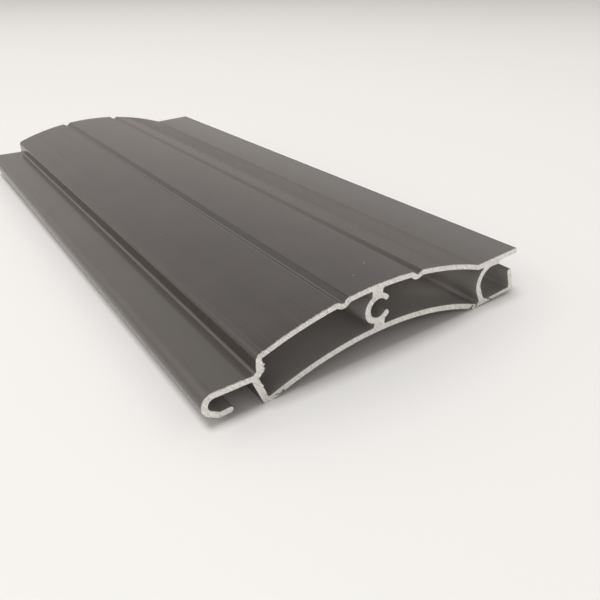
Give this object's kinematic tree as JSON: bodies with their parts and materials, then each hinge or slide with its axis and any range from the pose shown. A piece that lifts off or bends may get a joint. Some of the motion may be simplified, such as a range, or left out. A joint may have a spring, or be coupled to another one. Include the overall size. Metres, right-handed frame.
{
  "type": "roller shutter slat",
  "caption": "Hollow curved slat of a rolling shutter, extruded in aluminium, with a hook along one edge, a pocket and cover flange along the other, and a screw port inside.",
  "frame": {"origin": "centre of the bounding box's bottom face, at the middle of the slat's length", "axes": "+Y along the slat, +Z out of the convex face, +X from the hook edge to the pocket edge"},
  "size_m": [0.0856, 0.18, 0.0167],
  "materials": {
    "coated_aluminium": "dark grey-brown satin coating on aluminium, bare at the cut ends"
  },
  "bodies": {
    "root": {"slat": "coated_aluminium"}
  },
  "joints": []
}
